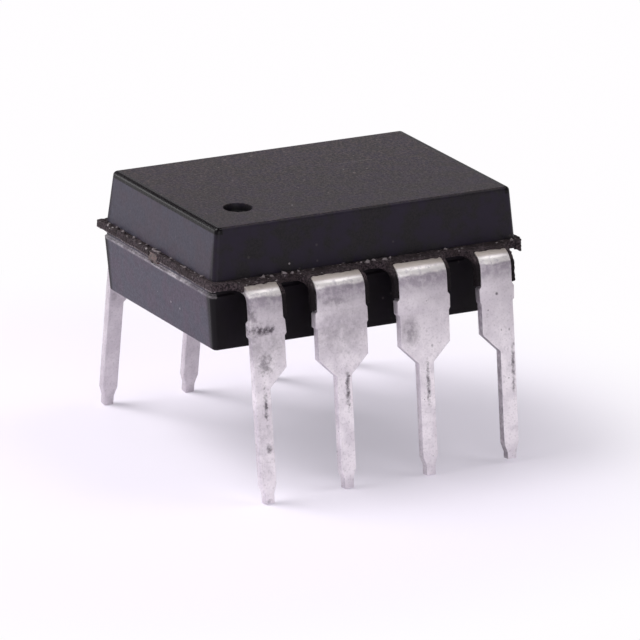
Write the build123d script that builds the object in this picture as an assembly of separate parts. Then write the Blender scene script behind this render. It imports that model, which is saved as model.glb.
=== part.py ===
from build123d import *
import math
import os

# Dual in-line package with two rows of leads. Millimetres and degrees, +Z up.
# The origin is on the surface it stands on, below the middle of the body.
# X runs along the rows, from pin 1 to the last pin of the front row. The front row is on -Y.

# ---- leads, outside the body ----
pins_per_row = 4
pin_pitch = 2.54
lead_thickness = 0.25
shoulder_width = 1.52        # inner leads, full width
leg_width = 0.46
tip_width = 0.28
stub_reach = 0.07            # cut dam bar, proud of each shoulder edge
neck_inset = 0.012           # the lead is this much narrower above the stub
tip_straight = 0.30          # heights, up from the surface it stands on
tip_chamfer_top = 0.56
taper_drop = 2.21            # heights, down from the top face of the lead
taper_height = 0.51
stub_drop = 0.94
stub_height = 0.42
bend_centre_reach = 0.40     # centre of the bend, out from the side of the body
bend_outer_radius = 0.50
splay_angle = 7.3            # each leg leans this far outwards
wide_splay_angle = 9.3
wide_splay_pins = (1, 5)
short_pins = (4,)
short_pin_rise = 0.09

# ---- moulded body ----
body_end_margin = 0.64       # beyond the outer edge of the end leads
body_width = 6.36
underside_height = 3.90
lower_height = 1.69          # underside to the leads' lower faces
upper_height = 1.48          # leads' upper faces to the top
upper_draft = 5.3
lower_end_draft = 5.3
lower_side_draft = 3.0
mould_mismatch = 0.06        # the lower half sits this far towards -X
top_edge_radius = 0.10
corner_radius = 0.12
dimple_radius = 0.40
dimple_depth = 0.25
dimple_from_end = 1.60       # centre, in from the edge of the body at the leads
dimple_from_side = 1.66

# ---- flash left at the lead plane ----
ledge_end_reach = 0.18       # beyond the body's ends
ledge_side_reach = 0.20      # beyond its sides, between the leads
film_reach = 0.51            # resin over the roots of the leads
film_thickness = 0.03
strip_width = 0.15           # along each edge of a lead
bare_outer_pins = (1, 5)     # their outer edges have no strip round the bend
window_radius = 0.22         # inner corners of the punched windows between leads

# ---- inside the body ----
pad_length = 3.00
pad_width = 2.30
tie_bar_width = 0.50
finger_gap = 0.35            # between a finger and the pad
finger_width = 0.90
side_finger_width = 0.55
finger_neck = 0.42           # length of an inner finger's narrow end
die_length = 1.50
die_width = 1.25
die_thickness = 0.28
attach_thickness = 0.03
attach_margin = 0.12
wire_diameter = 0.032
wire_height = 0.22           # top of the loop above the die
wire_bend_radius = 0.07
wire_peak_reach = 0.10       # top of the loop, out from the bond on the die
wire_inset = 0.14            # bond on the die, in from its edge
side_wire_inset = 0.28       # the same along the side, for a wire to an end lead
inner_bond_reach = 0.375     # bonds of the inner leads' wires, out from the middle of the die
wire_land = 0.22             # bond on the finger, back from its end

# ---- worked out from the sizes above ----
row_half_length = (pins_per_row - 1) * pin_pitch / 2
half_length = row_half_length + leg_width / 2 + body_end_margin
half_width = body_width / 2
body_length = 2 * half_length
lead_bottom = underside_height + lower_height
lead_top = lead_bottom + lead_thickness
body_top = lead_top + upper_height
pin_count = 2 * pins_per_row
stub_top = lead_top - stub_drop
stub_bottom = stub_top - stub_height
taper_top = lead_top - taper_drop
taper_bottom = taper_top - taper_height
pad_half_length = pad_length / 2
pad_half_width = pad_width / 2
die_bottom = lead_top + attach_thickness
die_top = die_bottom + die_thickness
CUT_ROOM = 1.0               # how far a cutting shape runs past what it cuts
FAR_OUT = 2 * body_width     # a cutting shape's reach from the middle, past the leads
SAME_PLACE = 0.001           # two places nearer than this are the same
FILLET_SHARE = 0.45          # the most of a gap's width that a fillet at one side of it takes


def pin_x(slot):
    """Place along the row of the slot-th lead, counted from 0."""
    return slot * pin_pitch - row_half_length


def shoulder_edges(slot):
    """Left and right edge of a shoulder. The end leads have no shoulder on their outer side."""
    left = pin_x(slot) - (leg_width if slot == 0 else shoulder_width) / 2
    right = pin_x(slot) + (leg_width if slot == pins_per_row - 1 else shoulder_width) / 2
    return left, right


def block(x_min, x_max, y_min, y_max, z_min, z_max):
    """A box between two corners."""
    size = (x_max - x_min, y_max - y_min, z_max - z_min)
    middle = ((x_min + x_max) / 2, (y_min + y_max) / 2, (z_min + z_max) / 2)
    return Pos(*middle) * Box(*size)


def flat_plate(points, z_min, thickness):
    """A plate from its outline, seen from above."""
    outline = make_face(Polyline([(x, y, z_min) for x, y in points], close=True).edges())
    return extrude(outline, thickness, dir=(0, 0, 1))


def to_row(shape, pin):
    """Shapes are made in the front row. The back row is the front row turned half round."""
    return shape if pin <= pins_per_row else Rot(0, 0, 180) * shape


# ---------------------------------------------------------------- leads

def lead_profile(splay, rise):
    """Side view of a front lead in the YZ plane: flat inside the body, bend, leaning leg."""
    centre_y = -half_width - bend_centre_reach
    centre_z = lead_top - bend_outer_radius
    inner_radius = bend_outer_radius - lead_thickness
    lean = math.radians(splay)

    def on_bend(radius, angle):
        return (0, centre_y - radius * math.cos(angle), centre_z + radius * math.sin(angle))

    def down_leg(radius, end_z):
        _, y, z = on_bend(radius, lean)
        return (0, y - (z - end_z) * math.tan(lean), end_z)

    half_turn = (lean + math.pi / 2) / 2
    inner_end = down_leg(inner_radius, rise)
    outer_end = down_leg(bend_outer_radius, rise + lead_thickness * math.sin(lean))
    outline = [
        Line((0, 0, lead_top), on_bend(bend_outer_radius, math.pi / 2)),
        ThreePointArc(on_bend(bend_outer_radius, math.pi / 2), on_bend(bend_outer_radius, half_turn),
                      on_bend(bend_outer_radius, lean)),
        Line(on_bend(bend_outer_radius, lean), outer_end),
        Line(outer_end, inner_end),
        Line(inner_end, on_bend(inner_radius, lean)),
        ThreePointArc(on_bend(inner_radius, lean), on_bend(inner_radius, half_turn),
                      on_bend(inner_radius, math.pi / 2)),
        Line(on_bend(inner_radius, math.pi / 2), (0, 0, lead_bottom)),
        Line((0, 0, lead_bottom), (0, 0, lead_top)),
    ]
    return make_face(outline)


def bent_strip(x_min, x_max, splay, rise):
    """The lead's side view carried across from one X to another."""
    return Pos(x_min, 0, 0) * extrude(lead_profile(splay, rise), x_max - x_min, dir=(1, 0, 0))


def leg_outline(slot):
    """Front view of the leg in the XZ plane, from the tip up past the bend."""
    middle = pin_x(slot)
    left, right = shoulder_edges(slot)

    def edge(side, shoulder):
        return [
            (middle + side * tip_width / 2, -CUT_ROOM),
            (middle + side * tip_width / 2, tip_straight),
            (middle + side * leg_width / 2, tip_chamfer_top),
            (middle + side * leg_width / 2, taper_bottom),
            (shoulder, taper_top),
            (shoulder, stub_bottom),
            (shoulder + side * stub_reach, stub_bottom + stub_reach),
            (shoulder + side * stub_reach, stub_top),
            (shoulder - side * neck_inset, stub_top + stub_reach),
            (shoulder - side * neck_inset, lead_top + CUT_ROOM),
        ]

    points = edge(1, right) + edge(-1, left)[::-1]
    outline = make_face(Polyline([(x, 0, z) for x, z in points], close=True).edges())
    return extrude(outline, FAR_OUT, dir=(0, -1, 0))


def finger_outline(slot):
    """Top view of the finger inside the body, from the side of the body in to the pad."""
    left, right = shoulder_edges(slot)
    left += neck_inset
    right -= neck_inset
    root_y = -half_width
    if 0 < slot < pins_per_row - 1:
        end_y = -pad_half_width - finger_gap
        neck_y = end_y - finger_neck
        neck_left = pin_x(slot) - finger_width / 2
        neck_right = pin_x(slot) + finger_width / 2
        shank_y = neck_y - (neck_left - left)
        points = [
            (left, root_y), (right, root_y), (right, shank_y), (neck_right, neck_y),
            (neck_right, end_y), (neck_left, end_y), (neck_left, neck_y), (left, shank_y),
        ]
        return flat_plate(points, lead_bottom, lead_thickness)
    side = -1 if slot == 0 else 1
    outer, inner = (left, right) if side < 0 else (right, left)
    low_y = -tie_bar_width / 2 - finger_gap - side_finger_width
    high_y = low_y + side_finger_width
    corner = side_finger_width / 2
    points = [
        (outer, root_y), (outer, high_y - corner), (outer - side * corner, high_y),
        (side * (pad_half_length + finger_gap), high_y),
        (side * (pad_half_length + finger_gap), low_y),
        (inner, low_y), (inner, root_y),
    ]
    return flat_plate(points, lead_bottom, lead_thickness)


def lead(pin):
    """One lead: its finger, and the bent strip cut to the leg's front view."""
    slot = (pin - 1) % pins_per_row
    splay = wide_splay_angle if pin in wide_splay_pins else splay_angle
    rise = short_pin_rise if pin in short_pins else 0
    left, right = shoulder_edges(slot)
    strip = bent_strip(left - CUT_ROOM, right + CUT_ROOM, splay, rise)
    outside = block(left - CUT_ROOM, right + CUT_ROOM, -FAR_OUT, -half_width, -CUT_ROOM, body_top)
    return to_row((strip & outside & leg_outline(slot)) + finger_outline(slot), pin)


# ---------------------------------------------------------------- paddle, die and wires

def die_pad():
    """The paddle with a tie bar to each end of the body, cut off flush with the flash."""
    pad = block(-pad_half_length, pad_half_length, -pad_half_width, pad_half_width, lead_bottom, lead_top)
    reach = half_length + ledge_end_reach
    bars = block(-reach, reach, -tie_bar_width / 2, tie_bar_width / 2, lead_bottom, lead_top)
    return pad + bars


def die_attach():
    """The adhesive under the die, a little larger than the die."""
    x = die_length / 2 + attach_margin
    y = die_width / 2 + attach_margin
    return block(-x, x, -y, y, lead_top, die_bottom)


def die():
    """The silicon chip, on the adhesive."""
    return block(-die_length / 2, die_length / 2, -die_width / 2, die_width / 2, die_bottom, die_top)


def bond_wire(pin):
    """A looped wire from the top of the die to the end of a lead's finger."""
    slot = (pin - 1) % pins_per_row
    inner_lead = 0 < slot < pins_per_row - 1
    if inner_lead:
        finger = (pin_x(slot), -pad_half_width - finger_gap - wire_land)
        bond = (math.copysign(inner_bond_reach, pin_x(slot)), -die_width / 2 + wire_inset)
    else:
        side = math.copysign(1, pin_x(slot))
        finger = (side * (pad_half_length + finger_gap + wire_land),
                  -tie_bar_width / 2 - finger_gap - side_finger_width / 2)
        bond = (side * (die_length / 2 - wire_inset), -die_width / 2 + side_wire_inset)
    loop_z = die_top + wire_height
    run = Vector(finger[0] - bond[0], finger[1] - bond[1], 0).normalized() * wire_peak_reach
    peak = (bond[0] + run.X, bond[1] + run.Y, loop_z)
    path = FilletPolyline(
        (bond[0], bond[1], die_top), peak, (finger[0], finger[1], lead_top),
        radius=wire_bend_radius)
    section = Plane(origin=path @ 0, z_dir=path % 0) * Circle(wire_diameter / 2)
    wire = sweep(section, path=path)
    below_fingers = block(-half_length, half_length, -half_width, half_width, 0, lead_top)
    return to_row(wire - die() - below_fingers, pin)


# ---------------------------------------------------------------- moulded body

def drafted_half(z_wide, z_narrow, end_draft, side_draft):
    """One half of the moulding, which narrows away from the lead plane."""
    depth = abs(z_narrow - z_wide)
    in_x = depth * math.tan(math.radians(end_draft))
    in_y = depth * math.tan(math.radians(side_draft))
    wide = Pos(0, 0, z_wide) * RectangleRounded(body_length, body_width, corner_radius)
    narrow = Pos(0, 0, z_narrow) * RectangleRounded(
        body_length - 2 * in_x, body_width - 2 * in_y, corner_radius)
    return loft([wide, narrow], ruled=True)


def tab_edges(slot):
    """Left and right edge of the resin that covers a lead's root."""
    left, right = shoulder_edges(slot)
    return left - strip_width, right + strip_width


def flash_ledge():
    """The layer at the lead plane: the body's outline, with a tab round the root of every lead."""
    outline = Rectangle(body_length + 2 * ledge_end_reach, body_width + 2 * ledge_side_reach)
    for slot in range(pins_per_row):
        left, right = tab_edges(slot)
        tab = Rectangle(right - left, body_width + 2 * film_reach)
        outline += Pos((left + right) / 2, 0, 0) * tab
    window_corners = outline.vertices().filter_by(
        lambda v: abs(abs(v.Y) - half_width - ledge_side_reach) < SAME_PLACE
        and abs(v.X) < half_length)
    window_width = tab_edges(1)[0] - tab_edges(0)[1]
    outline = fillet(window_corners, min(window_radius, FILLET_SHARE * window_width))
    return Pos(0, 0, lead_bottom) * extrude(outline, lead_thickness + film_thickness, dir=(0, 0, 1))


def has_strip(pin, side):
    """Whether flash is left round the bend on this side of a lead, seen from outside the row."""
    return side > 0 or pin not in bare_outer_pins


def flash_strip(pin, side):
    """Resin left along one edge of a lead, round the bend and down to the cut dam bar."""
    slot = (pin - 1) % pins_per_row
    splay = wide_splay_angle if pin in wide_splay_pins else splay_angle
    left, right = shoulder_edges(slot)
    inset = side * neck_inset
    x_min, x_max = (left - strip_width, left - inset) if side < 0 else (right - inset, right + strip_width)
    strip = bent_strip(x_min, x_max, splay, 0)
    keep = block(x_min, x_max, -FAR_OUT, -half_width + ledge_side_reach,
                 stub_top + stub_reach, body_top)
    return to_row(strip & keep, pin)


def moulded_body(inner_parts):
    """Both halves, the ledge and its strips, less everything that is moulded in."""
    upper = drafted_half(lead_top, body_top, upper_draft, upper_draft)
    upper = fillet(upper.faces().sort_by(Axis.Z)[-1].edges(), top_edge_radius)
    lower = Pos(-mould_mismatch, 0, 0) * drafted_half(
        lead_bottom, underside_height, lower_end_draft, lower_side_draft)
    dimple = Pos(dimple_from_end - half_length, dimple_from_side - half_width, body_top) * Cylinder(
        dimple_radius, 2 * dimple_depth)
    body = lower + flash_ledge() + upper - dimple
    for pin in range(1, pin_count + 1):
        for side in (-1, 1):
            if has_strip(pin, side):
                body += flash_strip(pin, side)
    for part in inner_parts:
        body -= part
    return body


def write_all():
    """Build every sub-part and write one STEP file for each."""
    parts = {"die_pad": die_pad(), "die_attach": die_attach(), "die": die()}
    for pin in range(1, pin_count + 1):
        parts[f"lead_{pin}"] = lead(pin)
        parts[f"bond_wire_{pin}"] = bond_wire(pin)
    parts["moulded_body"] = moulded_body(list(parts.values()))
    os.makedirs("parts", exist_ok=True)
    for name, shape in parts.items():
        export_step(shape, f"parts/{name}.step")
        print(name, len(shape.solids()), round(shape.volume, 4))


write_all()
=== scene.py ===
import math
import random

import bmesh
import bpy
from mathutils import Matrix, Vector, noise


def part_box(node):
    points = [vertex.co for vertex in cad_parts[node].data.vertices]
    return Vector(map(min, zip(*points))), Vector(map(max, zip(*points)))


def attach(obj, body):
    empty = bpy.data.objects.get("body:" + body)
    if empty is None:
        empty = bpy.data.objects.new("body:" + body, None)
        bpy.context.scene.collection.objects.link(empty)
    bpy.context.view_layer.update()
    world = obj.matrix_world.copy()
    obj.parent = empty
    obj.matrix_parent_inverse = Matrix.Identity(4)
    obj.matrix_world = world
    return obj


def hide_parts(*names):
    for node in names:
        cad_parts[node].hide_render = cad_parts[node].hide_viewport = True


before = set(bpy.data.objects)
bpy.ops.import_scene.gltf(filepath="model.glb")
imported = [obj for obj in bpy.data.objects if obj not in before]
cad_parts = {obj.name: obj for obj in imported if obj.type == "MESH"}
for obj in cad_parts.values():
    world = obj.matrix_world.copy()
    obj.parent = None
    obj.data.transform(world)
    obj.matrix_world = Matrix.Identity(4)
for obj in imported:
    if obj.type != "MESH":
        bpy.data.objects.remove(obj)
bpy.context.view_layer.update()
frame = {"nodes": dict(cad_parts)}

# The dual in-line package's moulded body, its flash and its formed leads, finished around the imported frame.
# Sizes are in millimetres until MM turns them into metres. X runs along the rows; the front row is on -Y.
MM = 0.001


def node_box(node):
    """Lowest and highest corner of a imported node, in millimetres."""
    low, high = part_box(node)
    return low / MM, high / MM


# ---- sizes read from the frame ----
body_low, body_high = node_box("moulded_body")
pad_low, pad_high = node_box("die_pad")
inner_lead_low, inner_lead_high = node_box("lead_2")
next_lead_low, _ = node_box("lead_3")

lead_bottom = pad_low.z
lead_top = pad_high.z
lead_thickness = lead_top - lead_bottom
underside = body_low.z
body_top = body_high.z
ledge_end = body_high.x
pin_pitch = next_lead_low.x - inner_lead_low.x
pad_half_width = pad_high.y

# ---- sizes of the leads ----
pins_per_row = 4
pin_count = 2 * pins_per_row
leg_width = 0.46
tip_width = 0.28
stub_reach = 0.07
stub_show = 0.05
shoulder_width = inner_lead_high.x - inner_lead_low.x - 2 * stub_reach
neck_inset = 0.012
tip_straight = 0.30
tip_chamfer_top = 0.56
taper_top = lead_top - 2.21
taper_bottom = taper_top - 0.51
stub_top = lead_top - 0.94
stub_bottom = stub_top - 0.42
bend_outer_radius = 0.50
bend_reach = 0.40
splay = 7.3
wide_splay = 9.3
wide_splay_pins = (1, 5)
short_pin = 4
short_pin_rise = 0.09
pad_half_length = 1.50          # without the tie bars
finger_gap = 0.35
finger_width = 0.90
finger_neck = 0.42
side_finger_width = 0.55
tie_bar_width = 0.50
lead_edge_radius = 0.022
bend_steps = 10
burr_reach = (-0.018, 0.014)    # how unevenly the stubs broke off
burr_seed = 40

# ---- sizes of the moulded body ----
half_length = 4.68
half_width = 3.18
upper_draft = 5.3
lower_end_draft = 5.3
lower_side_draft = 3.0
mould_mismatch = 0.06
corner_radius = 0.12
top_edge_radius = 0.10
shaded_rim_band = 0.16               # upper edges of the ends, painted in shade, which the painted sheen on the ends leaves out
bottom_edge_radius = 0.06
lead_plane_recess = 0.045       # shallow, behind the flash
lip_end_growth = 0.004          # the lower half's upper edge
lip_side_inset = 0.006
upper_inset = 0.004             # the upper half's lower edge
corner_room = 0.4               # how far from a corner its edges are looked for
dimple_radius = 0.40
dimple_depth = 0.25
dimple_floor_radius = 0.07
dimple_rim_radius = 0.022
dimple_x = 1.60 - half_length
dimple_y = 1.66 - half_width

# ---- sizes of the flash ----
ledge_side = half_width + 0.20
film_edge = half_width + 0.51   # resin film over the leads' roots
film_top = body_high.z - 1.45
strip_width = 0.11
window_radius = 0.22
ledge_underside = lead_bottom + 0.07
flash_grain = 0.032
broken_corner = 0.24            # cut off the ledge's front right corner
parting_edge = lead_bottom - 0.12
ledge_ragged_room = 0.02        # left for the ragged edge inside the ledge's true size
ledge_root_end = 0.30           # how far the ledge reaches into the body
ledge_root_side = 0.26
strip_root = 0.1
strip_skin = 0.01               # a strip is this much thinner than its lead on each face
loose_crumb_count = 26
loose_crumb_seed = 7
ragged_seed = 1                 # unset, the raggedness would differ from run to run
torn_crumb_size = 0.075
corner_blob_size = 0.12

# An edge that runs less than this in a direction counts as not running that way.
tiny_run = 0.002


# ---------------------------------------------------------------- modelling by hand, in code

def deselect():
    """Nothing stays selected in object mode."""
    bpy.ops.object.select_all(action="DESELECT")


def name_piece(name):
    """Names the object just added, and puts its place into its mesh."""
    piece = bpy.context.object
    piece.name = name
    piece.data.name = name
    bpy.ops.object.transform_apply(location=True, rotation=True, scale=True)
    return piece


def activate(piece):
    """Only this piece is selected, and it is the active one."""
    deselect()
    piece.select_set(True)
    bpy.context.view_layer.objects.active = piece


def start_editing(piece):
    """Edit mode on one piece."""
    activate(piece)
    bpy.ops.object.mode_set(mode="EDIT")


def stop_editing():
    """Back to object mode."""
    bpy.ops.object.mode_set(mode="OBJECT")


def pick(kind, test):
    """Selects the vertices, edges or faces whose every corner, in millimetres, passes the test."""
    bpy.ops.mesh.select_mode(type=kind)
    bpy.ops.mesh.select_all(action="DESELECT")
    data = bpy.context.object.data
    mesh = bmesh.from_edit_mesh(data)
    for item in {"VERT": mesh.verts, "EDGE": mesh.edges, "FACE": mesh.faces}[kind]:
        corners = [item] if kind == "VERT" else item.verts
        if all(test(corner.co / MM) for corner in corners):
            item.select_set(True)
    mesh.select_flush_mode()
    bmesh.update_edit_mesh(data)


def near(a, b, room=0.002):
    """Whether two places are the same, in millimetres."""
    return abs(a - b) < room


def move(x=0.0, y=0.0, z=0.0):
    """Moves what is selected, in millimetres."""
    bpy.ops.transform.translate(value=(x * MM, y * MM, z * MM))


def extrude(x=0.0, y=0.0, z=0.0):
    """Extrudes what is selected, in millimetres."""
    bpy.ops.mesh.extrude_region_move(TRANSFORM_OT_translate={"value": (x * MM, y * MM, z * MM)})


def selected_places():
    """Places of the selected vertices, in millimetres."""
    mesh = bmesh.from_edit_mesh(bpy.context.object.data)
    return [v.co / MM for v in mesh.verts if v.select]


def set_sides(left, right):
    """Slides the two sides of the selected end face to new places along X."""
    mesh = bmesh.from_edit_mesh(bpy.context.object.data)
    end = [v for v in mesh.verts if v.select]
    middle = sum(v.co.x for v in end) / len(end)
    for v in end:
        v.co.x = (left if v.co.x < middle else right) * MM
    bmesh.update_edit_mesh(bpy.context.object.data)


def finish_closed_shape():
    """Points every face of the piece in edit mode outwards, and goes back to object mode."""
    bpy.ops.mesh.select_all(action="SELECT")
    bpy.ops.mesh.normals_make_consistent(inside=False)
    stop_editing()


def keep_edges(test):
    """Keeps in the selection only the edges whose run, in millimetres, passes the test."""
    mesh = bmesh.from_edit_mesh(bpy.context.object.data)
    for edge in mesh.edges:
        if edge.select and not test((edge.verts[0].co - edge.verts[1].co) / MM):
            edge.select_set(False)
    mesh.select_flush_mode()
    bmesh.update_edit_mesh(bpy.context.object.data)


def use_modifier(piece, kind, **settings):
    """Adds a modifier with its settings and applies it."""
    activate(piece)
    modifier = piece.modifiers.new(kind, kind)
    for key, value in settings.items():
        setattr(modifier, key, value)
    bpy.ops.object.modifier_apply(modifier=modifier.name)


def smooth(piece, degrees):
    """Smooth shading, but for edges sharper than this."""
    activate(piece)
    bpy.ops.object.shade_smooth_by_angle(angle=math.radians(degrees))


def join(first, others):
    """Joins pieces into the first."""
    deselect()
    for piece in others:
        piece.select_set(True)
    first.select_set(True)
    bpy.context.view_layer.objects.active = first
    bpy.ops.object.join()
    return first


def add_plate(name, left, right, back, front, z):
    """A flat face seen from above."""
    deselect()
    bpy.ops.mesh.primitive_plane_add(
        size=MM, location=((left + right) / 2 * MM, (back + front) / 2 * MM, z * MM))
    bpy.context.object.scale = (right - left, back - front, 1)
    return name_piece(name)


def add_end_face(name, left, right, y, low, high):
    """A flat face across the way a lead runs."""
    deselect()
    bpy.ops.mesh.primitive_plane_add(
        size=MM, location=((left + right) / 2 * MM, y * MM, (low + high) / 2 * MM),
        rotation=(math.pi / 2, 0, 0))
    bpy.context.object.scale = (right - left, high - low, 1)
    return name_piece(name)


def half_turn_copy(piece, name):
    """A copy with its own mesh, turned half round to the other row."""
    copy = piece.copy()
    copy.data = piece.data.copy()
    copy.name = name
    copy.data.name = name
    bpy.context.scene.collection.objects.link(copy)
    copy.data.transform(Matrix.Rotation(math.pi, 4, "Z"))
    return copy


def ragged(piece, size, depth, where=None, seed=0):
    """Pushes the surface in and out unevenly. Size and depth are in millimetres."""
    shift = Vector((seed * 7.3, seed * 3.1, seed * 5.7))
    for v in piece.data.vertices:
        place = v.co / MM
        amount = 1.0 if where is None else where(place)
        if amount:
            v.co += noise.noise_vector(place / size + shift) * depth * amount * MM


# ---------------------------------------------------------------- leads

def pin_x(slot):
    """Place along the row, counted from 0."""
    return slot * pin_pitch - (pins_per_row - 1) * pin_pitch / 2


def shoulder_edges(slot):
    """Left and right edge of a shoulder. The end leads have none on their outer side."""
    left = pin_x(slot) - (leg_width if slot == 0 else shoulder_width) / 2
    right = pin_x(slot) + (leg_width if slot == pins_per_row - 1 else shoulder_width) / 2
    return left, right


def lean_of(pin):
    """How far a leg leans outwards, in radians."""
    return math.radians(wide_splay if pin in wide_splay_pins else splay)


def bend_down(lean):
    """Turns what is selected down round the bend, until it points along the leg."""
    centre = Vector((0, -half_width - bend_reach, lead_top - bend_outer_radius)) * MM
    bpy.ops.mesh.spin(steps=bend_steps, angle=math.pi / 2 - lean, center=centre, axis=(-1, 0, 0))


def side_finger_span():
    """Where an end lead's finger lies across the body: its lowest and its highest place along Y."""
    low = -tie_bar_width / 2 - finger_gap - side_finger_width
    return low, low + side_finger_width


def start_inner_finger(name, slot, left, right):
    """An inner lead's finger, from its broad end by the paddle to its neck. Gives the place reached."""
    end = -pad_half_width - finger_gap
    middle = pin_x(slot)
    spread = middle - finger_width / 2 - left
    piece = add_end_face(name, middle - finger_width / 2, middle + finger_width / 2, end,
                         lead_bottom, lead_top)
    start_editing(piece)
    bpy.ops.mesh.select_all(action="SELECT")
    extrude(y=-finger_neck)
    extrude(y=-spread)
    set_sides(left, right)
    return piece, end - finger_neck - spread


def start_end_finger(name, slot, left, right):
    """An end lead's finger, from its cut corner to its full width. Gives the place reached."""
    corner = side_finger_width / 2
    low, high = side_finger_span()
    start = (left + corner, right) if slot == 0 else (left, right - corner)
    piece = add_end_face(name, start[0], start[1], high, lead_bottom, lead_top)
    start_editing(piece)
    bpy.ops.mesh.select_all(action="SELECT")
    extrude(y=-corner)
    set_sides(left, right)
    extrude(y=low - (high - corner))
    return piece, low


def finger_start(name, slot):
    """The lead's finger inside the body, drawn out to where the bend begins."""
    left, right = shoulder_edges(slot)
    left += neck_inset
    right -= neck_inset
    start = start_inner_finger if 0 < slot < pins_per_row - 1 else start_end_finger
    piece, reached = start(name, slot, left, right)
    extrude(y=-half_width - bend_reach - reached)
    return piece


def draw_out_side_finger(slot):
    """The end leads' fingers turn along the row, towards the paddle."""
    side = 1 if slot == 0 else -1
    left, right = shoulder_edges(slot)
    inner = right - neck_inset if slot == 0 else left + neck_inset
    low, high = side_finger_span()
    pick("FACE", lambda p: near(p.x, inner) and low - 0.01 < p.y < high + 0.01)
    end = -side * (pad_half_length + finger_gap)
    extrude(x=end - inner)


def draw_leg(slot, lean, rise, burrs):
    """Round the bend and down the leg, with the cut stubs of the dam bar, to the tip."""
    left, right = shoulder_edges(slot)
    middle = pin_x(slot)
    leg_left, leg_right = middle - leg_width / 2, middle + leg_width / 2
    tip_left, tip_right = middle - tip_width / 2, middle + tip_width / 2
    bend_down(lean)
    height = max(p.z for p in selected_places())
    burr = [burrs.uniform(*burr_reach) for _ in range(8)]
    stations = [
        (stub_top + stub_reach, left + neck_inset, right - neck_inset),
        (stub_top + burr[6], left - stub_show + burr[0], right + stub_show + burr[1]),
        (stub_bottom + stub_reach + burr[7], left - stub_show + burr[2], right + stub_show + burr[3]),
        (stub_bottom, left + burr[4] / 2, right + burr[5] / 2),
        (taper_top, left, right),
        (taper_bottom, leg_left, leg_right),
        (tip_chamfer_top, leg_left, leg_right),
        (tip_straight, tip_left, tip_right),
        (rise + lead_thickness * math.sin(lean), tip_left, tip_right),
    ]
    for z, new_left, new_right in stations:
        drop = height - z
        extrude(y=-drop * math.tan(lean), z=-drop)
        set_sides(new_left, new_right)
        height = z


def make_lead(pin, rise):
    """One front lead: finger, bend and leg, with its stamped edges eased. Its tip stops short by the rise."""
    slot = pin - 1
    piece = finger_start(f"tinned_lead_{pin}", slot)
    draw_leg(slot, lean_of(pin), rise, random.Random(burr_seed + pin))
    if slot in (0, pins_per_row - 1):
        draw_out_side_finger(slot)
    finish_closed_shape()
    use_modifier(piece, "BEVEL", width=lead_edge_radius * MM, segments=2, limit_method="ANGLE",
                 angle_limit=math.radians(28), use_clamp_overlap=True)
    return piece


def make_lead_pair(pin):
    """A front lead, and its partner turned half round to the back row, which has no short tip."""
    lead = make_lead(pin, short_pin_rise if pin == short_pin else 0)
    partner_name = f"tinned_lead_{pin + pins_per_row}"
    if pin != short_pin:
        return lead, half_turn_copy(lead, partner_name)
    full_length = make_lead(pin, 0)
    partner = half_turn_copy(full_length, partner_name)
    bpy.data.objects.remove(full_length)
    return lead, partner


# ---------------------------------------------------------------- moulded body

def case_levels():
    """Height, half length, half width and place along X of the case's outline, from the underside up."""
    lower_depth = lead_bottom - underside
    upper_depth = body_top - lead_top
    in_end = lower_depth * math.tan(math.radians(lower_end_draft))
    in_side = lower_depth * math.tan(math.radians(lower_side_draft))
    in_top = upper_depth * math.tan(math.radians(upper_draft))
    lip_end = half_length + lip_end_growth
    lip_side = half_width - lip_side_inset
    recess_end = half_length - lead_plane_recess
    recess_side = half_width - lead_plane_recess
    return [
        (underside, half_length - in_end, half_width - in_side, -mould_mismatch),
        (parting_edge - 0.015, lip_end, lip_side, -mould_mismatch),
        (parting_edge + 0.030, lip_end - lead_plane_recess, lip_side - lead_plane_recess, -mould_mismatch),
        (lead_bottom + 0.08, recess_end, recess_side, -mould_mismatch),
        (lead_top + 0.01, recess_end, recess_side, 0),
        (lead_top + 0.045, half_length - upper_inset, half_width - upper_inset, 0),
        (body_top, half_length - in_top, half_width - in_top, 0),
    ]


def make_case():
    """Both halves of the moulding as one closed shape, drawn up from the underside, with the dimple."""
    levels = case_levels()
    z, across, deep, shift = levels[0]
    case = add_plate("moulded_case", shift - across, shift + across, deep, -deep, z)
    start_editing(case)
    bpy.ops.mesh.select_all(action="SELECT")
    for next_z, next_across, next_deep, next_shift in levels[1:]:
        extrude(z=next_z - z)
        bpy.ops.transform.resize(
            value=(next_across / across, next_deep / deep, 1), center_override=(shift * MM, 0, 0))
        move(x=next_shift - shift)
        z, across, deep, shift = next_z, next_across, next_deep, next_shift
    pick("EDGE", lambda p: abs(p.y) > half_width - corner_room and abs(p.x) > half_length - corner_room)
    keep_edges(lambda run: abs(run.z) > tiny_run)
    bpy.ops.mesh.bevel(offset=corner_radius * MM, segments=5, affect="EDGES", clamp_overlap=False)
    round_rim(body_top, top_edge_radius, 5)
    round_rim(underside, bottom_edge_radius, 3)
    finish_closed_shape()
    sink_dimple(case)
    return case


def round_rim(z, radius, segments):
    """Rounds the rim of the top face or the underside."""
    pick("EDGE", lambda p: near(p.z, z))
    bpy.ops.mesh.bevel(offset=radius * MM, segments=segments, affect="EDGES", clamp_overlap=False)


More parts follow.
